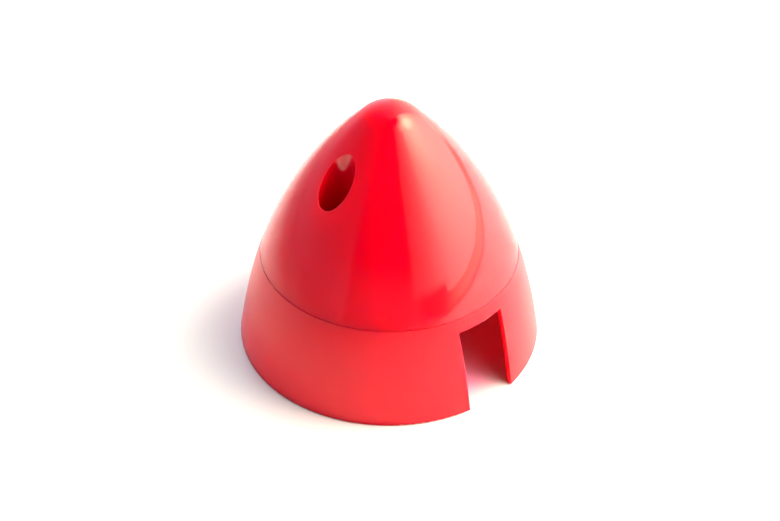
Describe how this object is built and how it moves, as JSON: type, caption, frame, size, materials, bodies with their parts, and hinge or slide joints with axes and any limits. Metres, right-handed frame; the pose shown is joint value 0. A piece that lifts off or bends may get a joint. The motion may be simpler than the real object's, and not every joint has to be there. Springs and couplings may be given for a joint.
{
  "type": "propeller spinner",
  "caption": "Rounded ogive nose cone screwed onto a flared, open base whose skirt is slotted for the propeller blades.",
  "frame": {"origin": "centre of the open rim, on the plane it stands on", "axes": "+Z along the spin axis to the tip, X through the two blade slots, Y through the two screw pockets"},
  "size_m": [0.056, 0.057, 0.0511],
  "materials": {
    "cone_gloss": "glossy moulded red plastic",
    "base_satin": "satin moulded red plastic",
    "screw_steel": "bright zinc-plated steel"
  },
  "bodies": {
    "root": {"nose_cone": "cone_gloss", "spinner_base": "base_satin", "cone_screw_1": "screw_steel", "cone_screw_2": "screw_steel"}
  },
  "joints": []
}
